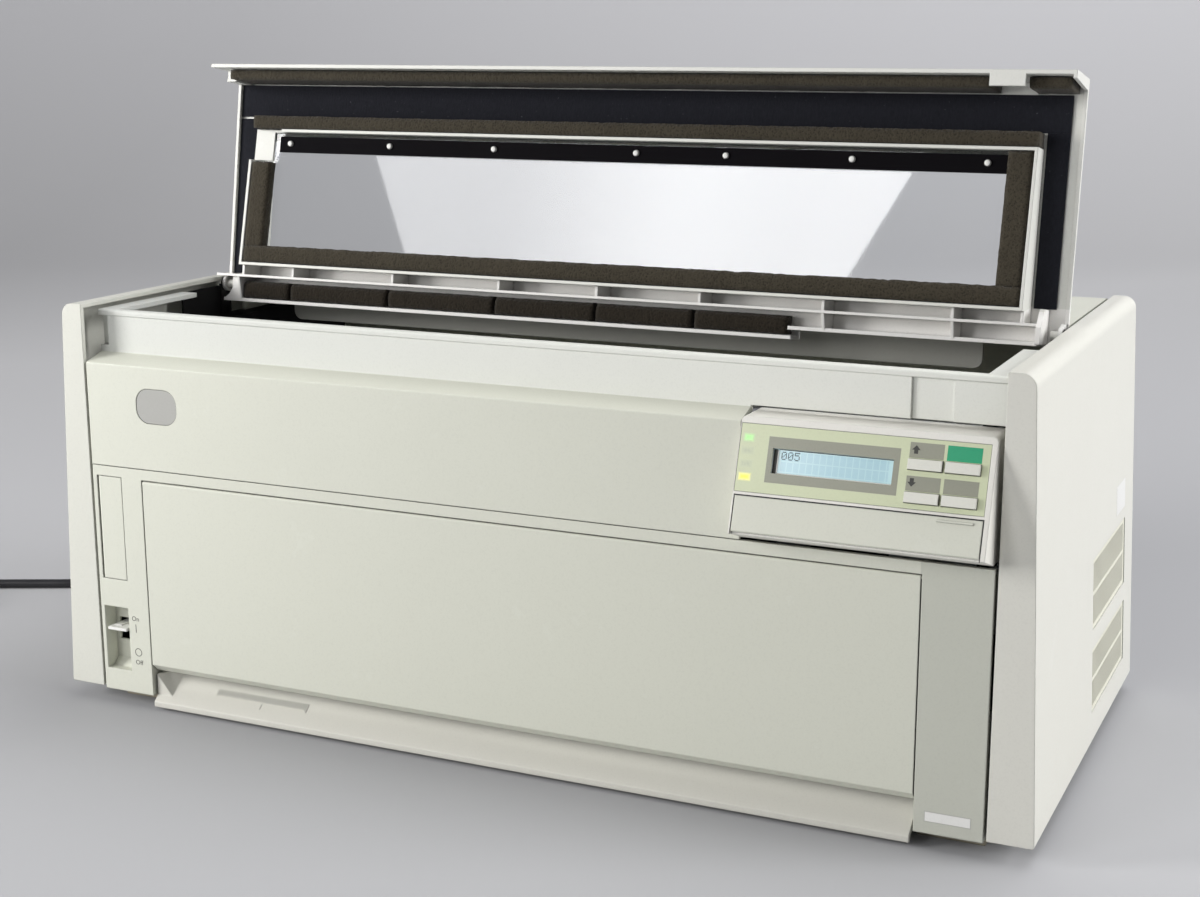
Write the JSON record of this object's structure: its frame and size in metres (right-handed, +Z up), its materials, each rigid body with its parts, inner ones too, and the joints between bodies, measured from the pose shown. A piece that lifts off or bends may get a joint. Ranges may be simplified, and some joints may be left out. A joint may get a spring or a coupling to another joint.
{
  "type": "dot matrix printer",
  "caption": "Wide dot matrix printer with a raised window cover, a fold-down front door, a slanted operator panel, a print carriage on rods and a tractor paper feed.",
  "frame": {"origin": "on the floor, under the middle of the printer's overall box, mains lead left out", "axes": "+X to the right seen from the front, +Y to the rear, +Z up"},
  "size_m": [0.9681, 0.497, 0.4216],
  "materials": {
    "casing": "fine-grained moulded plastic, warm off-white",
    "white_plastic": "smooth white plastic",
    "key": "smooth pale key plastic",
    "black_plastic": "satin black plastic",
    "grey_plastic": "grey plastic",
    "grille": "moulded grille",
    "badge": "plain grey plate",
    "overlay": "pale yellow-green printed sheet",
    "lcd": "display glass, pale cyan",
    "led": "small light windows",
    "circuit_board": "green circuit board",
    "clear_window": "clear sheet",
    "felt": "near-black felt",
    "foam": "dark brown open-cell foam",
    "steel": "zinc-plated sheet steel",
    "dark_steel": "black-coated sheet steel",
    "bright_steel": "ground steel rod",
    "head_metal": "dark finned aluminium",
    "motor_metal": "dark motor can",
    "roller": "black rubber rollers on a steel shaft",
    "rubber": "black belt rubber",
    "cord": "black cable sheath"
  },
  "bodies": {
    "machine": {"badge_plate": "badge", "base_tray": "casing", "carriage_belt": "rubber", "cord_coil": "cord", "cord_connector": "cord", "cover_hinge_pins": "white_plastic", "drive_motors": "motor_metal", "fan_housing": "black_plastic", "feet": "casing", "front_lower_frame": "casing", "front_upper_fascia": "casing", "guide_rods": "bright_steel", "lcd_screen": "lcd", "left_side_panel": "casing", "logic_board": "circuit_board", "mains_cord": "cord", "mains_inlet": "black_plastic", "mains_plug": "cord", "operator_housing": "casing", "panel_board": "circuit_board", "panel_overlay": "overlay", "paper_deflector": "grey_plastic", "paper_ramp": "casing", "platen_bar": "steel", "power_supply": "steel", "power_switch_body": "black_plastic", "rear_cover": "casing", "rear_paper_guide": "casing", "right_side_panel": "casing", "side_frames": "dark_steel", "side_vent_grilles": "grille", "status_leds": "led"},
    "top_cover": {"cover_shell": "casing", "cover_window": "clear_window", "window_retainer": "black_plastic", "cover_felt": "felt", "skirt_foam": "foam", "window_foam": "foam", "tail_foam": "foam"},
    "front_door": {"front_door": "casing"},
    "access_door": {"access_door": "casing"},
    "power_lever": {"power_lever": "white_plastic"},
    "key_upper_left": {"key_upper_left": "key"},
    "key_upper_right": {"key_upper_right": "key"},
    "key_lower_left": {"key_lower_left": "key"},
    "key_lower_right": {"key_lower_right": "key"},
    "panel_flap": {"panel_flap": "casing"},
    "carriage": {"carriage": "black_plastic", "print_head": "head_metal", "ribbon_cassette": "black_plastic"},
    "drive_pulley": {"drive_pulley": "grey_plastic"},
    "idler_pulley": {"idler_pulley": "grey_plastic"},
    "feed_drive_gear": {"feed_drive_gear": "white_plastic"},
    "front_feed_roller": {"front_feed_roller": "roller"},
    "rear_feed_roller": {"rear_feed_roller": "roller"},
    "tractor_shaft": {"tractor_shaft": "bright_steel"},
    "left_tractor": {"left_tractor": "black_plastic"},
    "right_tractor": {"right_tractor": "black_plastic"},
    "fan_rotor": {"fan_rotor": "black_plastic"}
  },
  "joints": [
    {"name": "cover_hinge", "type": "hinge", "parent": "machine", "child": "top_cover", "pos_m": [0, 0.0005, 0.2665], "axis": [1, 0, 0], "range_deg": [0, 99.26]},
    {"name": "front_door_hinge", "type": "hinge", "parent": "machine", "child": "front_door", "pos_m": [0, -0.1546, 0.1559], "axis": [-1, 0, 0], "range_deg": [0, 85]},
    {"name": "access_door_hinge", "type": "hinge", "parent": "machine", "child": "access_door", "pos_m": [-0.2939, -0.1539, 0.123], "axis": [0, 0, -1], "range_deg": [0, 95]},
    {"name": "power_switch", "type": "hinge", "parent": "machine", "child": "power_lever", "pos_m": [-0.2889, -0.1221, 0.0534], "axis": [1, 0, 0], "range_deg": [0, 20]},
    {"name": "press_upper_left", "type": "slide", "parent": "machine", "child": "key_upper_left", "axis": [0, 0.948, -0.3183], "range_m": [0, 0.0012], "stiffness_N_per_m": 400},
    {"name": "press_upper_right", "type": "slide", "parent": "machine", "child": "key_upper_right", "axis": [0, 0.948, -0.3183], "range_m": [0, 0.0012], "stiffness_N_per_m": 400},
    {"name": "press_lower_left", "type": "slide", "parent": "machine", "child": "key_lower_left", "axis": [0, 0.948, -0.3183], "range_m": [0, 0.0012], "stiffness_N_per_m": 400},
    {"name": "press_lower_right", "type": "slide", "parent": "machine", "child": "key_lower_right", "axis": [0, 0.948, -0.3183], "range_m": [0, 0.0012], "stiffness_N_per_m": 400},
    {"name": "flap_hinge", "type": "hinge", "parent": "machine", "child": "panel_flap", "pos_m": [0.2268, -0.17533, 0.17638], "axis": [1, 0, 0], "range_deg": [0, 110]},
    {"name": "carriage_slide", "type": "slide", "parent": "machine", "child": "carriage", "axis": [1, 0, 0], "range_m": [-0.19, 0.19]},
    {"name": "drive_pulley_turn", "type": "hinge", "parent": "machine", "child": "drive_pulley", "pos_m": [0.262, -0.093, 0.205], "axis": [0, 1, 0], "range_deg": [-1080, 1080]},
    {"name": "idler_pulley_turn", "type": "hinge", "parent": "machine", "child": "idler_pulley", "pos_m": [-0.262, -0.093, 0.205], "axis": [0, 1, 0], "range_deg": [-1080, 1080]},
    {"name": "feed_drive_turn", "type": "hinge", "parent": "machine", "child": "feed_drive_gear", "pos_m": [0.2895, -0.035, 0.168], "axis": [1, 0, 0], "continuous": true},
    {"name": "front_roller_turn", "type": "hinge", "parent": "machine", "child": "front_feed_roller", "pos_m": [0, -0.085, 0.168], "axis": [1, 0, 0], "continuous": true},
    {"name": "rear_roller_turn", "type": "hinge", "parent": "machine", "child": "rear_feed_roller", "pos_m": [0, 0.015, 0.168], "axis": [1, 0, 0], "continuous": true},
    {"name": "tractor_shaft_turn", "type": "hinge", "parent": "machine", "child": "tractor_shaft", "pos_m": [0, -0.10851, 0.13564], "axis": [1, 0, 0], "continuous": true},
    {"name": "left_tractor_slide", "type": "slide", "parent": "machine", "child": "left_tractor", "axis": [1, 0, 0], "range_m": [-0.07, 0.1]},
    {"name": "right_tractor_slide", "type": "slide", "parent": "machine", "child": "right_tractor", "axis": [1, 0, 0], "range_m": [-0.1, 0.07]},
    {"name": "fan_turn", "type": "hinge", "parent": "machine", "child": "fan_rotor", "pos_m": [0.27, 0.08, 0.084], "axis": [1, 0, 0], "continuous": true}
  ],
  "couplings": [
    {"joint": "drive_pulley_turn", "follows": "carriage_slide", "rad_per_m": 97.561},
    {"joint": "idler_pulley_turn", "follows": "carriage_slide", "rad_per_m": 97.561},
    {"joint": "front_roller_turn", "follows": "feed_drive_turn", "ratio": -1.5},
    {"joint": "rear_roller_turn", "follows": "feed_drive_turn", "ratio": -1.5},
    {"joint": "tractor_shaft_turn", "follows": "feed_drive_turn", "ratio": 1.5}
  ]
}
